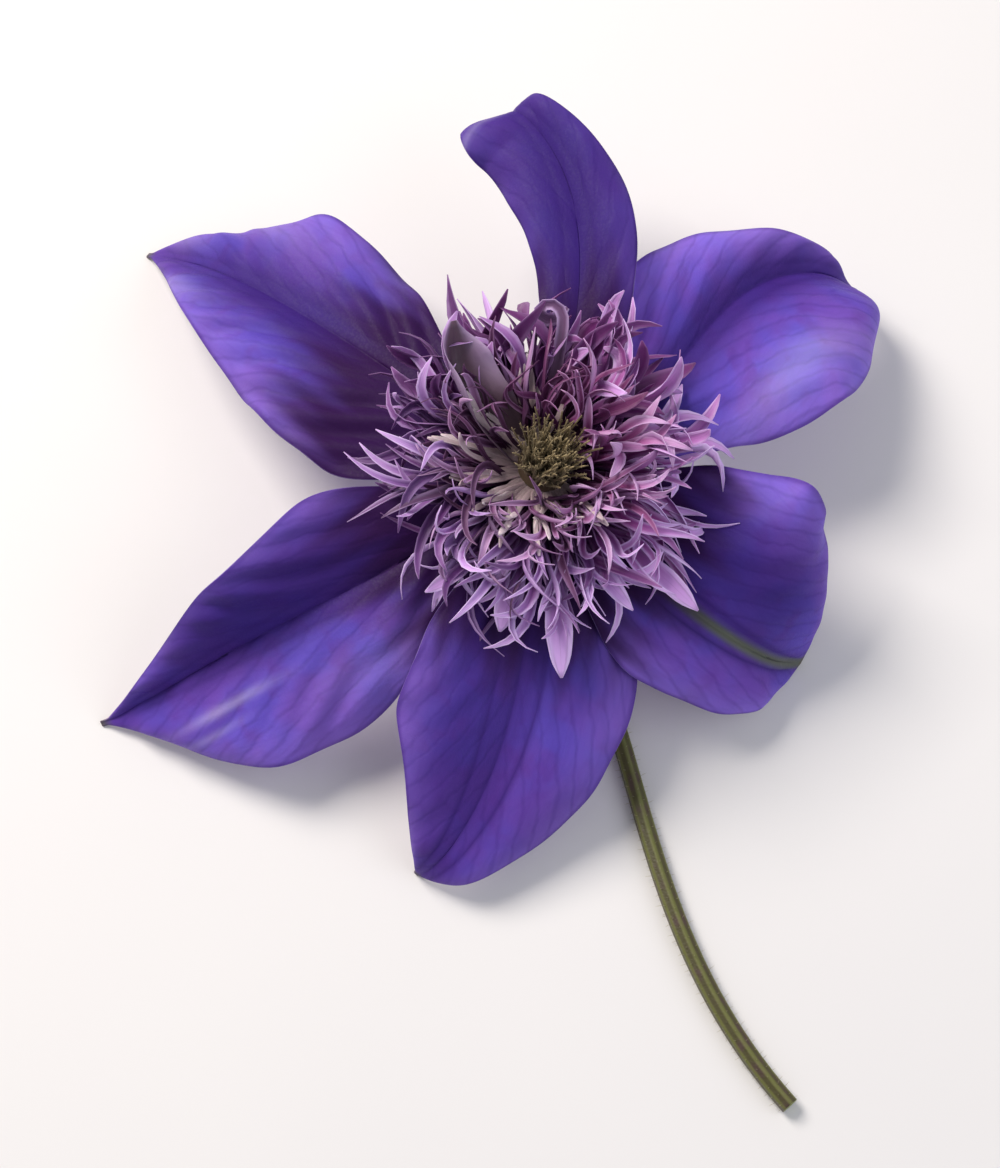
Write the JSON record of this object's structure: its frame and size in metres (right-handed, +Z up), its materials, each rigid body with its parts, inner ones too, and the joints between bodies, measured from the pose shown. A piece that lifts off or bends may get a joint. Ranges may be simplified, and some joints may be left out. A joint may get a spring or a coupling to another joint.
{
  "type": "clematis flower",
  "caption": "A picked violet clematis bloom lying face up on its tepals, with a mauve tuft of narrow staminodes, an olive middle and a slender stalk bent along the surface.",
  "frame": {"origin": "on the surface that the bloom lies on, under the middle of its whole outline, stalk included", "axes": "+Z up out of the bloom's face, -Y the way the stalk runs off along the surface"},
  "size_m": [0.0887, 0.1109, 0.0344],
  "materials": {
    "tepal": "soft satin petal, violet above and pale lavender below",
    "outer_staminode": "soft satin petal, mauve with paler edges",
    "inner_staminode": "soft satin petal, dusky plum",
    "pistil": "matt, hairy, olive brown",
    "stalk": "fresh stalk, ribbed, satin"
  },
  "bodies": {
    "root": {"tepal_1": "tepal", "tepal_2": "tepal", "tepal_3": "tepal", "tepal_4": "tepal", "tepal_5": "tepal", "tepal_6": "tepal", "outer_staminodes": "outer_staminode", "inner_staminodes": "inner_staminode", "pistil_tuft": "pistil", "stalk": "stalk"}
  },
  "joints": []
}
